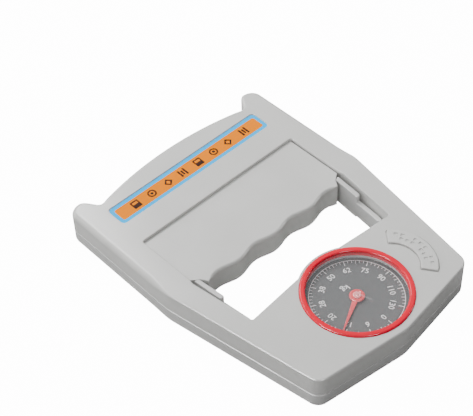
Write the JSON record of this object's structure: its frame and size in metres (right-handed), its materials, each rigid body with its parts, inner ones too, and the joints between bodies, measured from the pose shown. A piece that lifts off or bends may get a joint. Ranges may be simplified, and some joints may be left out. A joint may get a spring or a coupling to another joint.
{
  "type": "hand dynamometer",
  "caption": "Spring grip-strength tester: flat two-shell case with sliding finger handle, rack-driven dial, held pointer and turning reset bezel.",
  "frame": {"origin": "middle of the bounding box at the back face of the case", "axes": "+Z out of the dial, +Y towards the curved palm end, +X to the right seen from the front"},
  "size_m": [0.1284, 0.167, 0.0209],
  "materials": {
    "case_front": "satin",
    "case_back": "satin",
    "label": "satin",
    "label_print": "matte",
    "badge": "satin",
    "dial_rim": "satin",
    "dial_face": "matte",
    "dial_print": "matte",
    "brass": "satin",
    "screw_steel": "satin",
    "bearing_bronze": "satin",
    "shaft_steel": "polished",
    "pointer_red": "satin",
    "pointer_hub": "gloss",
    "bezel_red": "gloss",
    "lens": "clear",
    "reset_clear": "clear",
    "handle_plastic": "satin",
    "handle_inner": "satin",
    "dark_plastic": "matte",
    "plate_steel": "satin",
    "rivet_steel": "satin",
    "spring_steel": "satin"
  },
  "bodies": {
    "case": {"front_shell": "case_front", "back_shell": "case_back", "label_plate": "label", "label_marks": "label_print", "side_badge": "badge", "dial_rim": "dial_rim", "dial_plate": "dial_face", "dial_scale": "dial_print", "movement_base": "brass", "movement_pillars": "brass", "movement_bridge": "brass", "pillar_screws": "screw_steel", "upper_bush": "bearing_bronze", "lower_bush": "bearing_bronze", "anchor_plate": "plate_steel", "guide_rods": "shaft_steel", "spring_left": "spring_steel", "spring_right": "spring_steel", "case_screws": "screw_steel"},
    "handle": {"handle_grip": "handle_plastic", "handle_frame": "handle_inner", "handle_screws": "screw_steel", "spring_cups": "dark_plastic", "draw_bar": "plate_steel", "rack_strip": "plate_steel", "rack_rivets": "rivet_steel"},
    "arbor": {"arbor": "shaft_steel", "pinion_gear": "brass", "drive_collar": "shaft_steel"},
    "pointer": {"pointer": "pointer_red", "pointer_cap": "pointer_hub"},
    "bezel": {"bezel_ring": "bezel_red", "dial_lens": "lens", "reset_finger": "reset_clear"}
  },
  "joints": [
    {"name": "handle_slide", "type": "slide", "parent": "case", "child": "handle", "axis": [0, 1, 0], "range_m": [0, 0.0138], "stiffness_N_per_m": 40000, "springref_m": -0.0005, "deforming": ["spring_left", "spring_right"]},
    {"name": "arbor_spin", "type": "hinge", "parent": "case", "child": "arbor", "pos_m": [0, -0.0525, 0.01], "axis": [0, 0, 1], "range_deg": [-330, 0]},
    {"name": "pointer_turn", "type": "hinge", "parent": "case", "child": "pointer", "pos_m": [0, -0.0525, 0.0168], "axis": [0, 0, 1], "range_deg": [-267, 0]},
    {"name": "bezel_turn", "type": "hinge", "parent": "case", "child": "bezel", "pos_m": [0, -0.0525, 0.019], "axis": [0, 0, 1], "range_deg": [0, 262]}
  ],
  "couplings": [
    {"joint": "arbor_spin", "follows": "handle_slide", "rad_per_m": -416.67},
    {"joint": "pointer_turn", "follows": "handle_slide", "rad_per_m": -337}
  ]
}
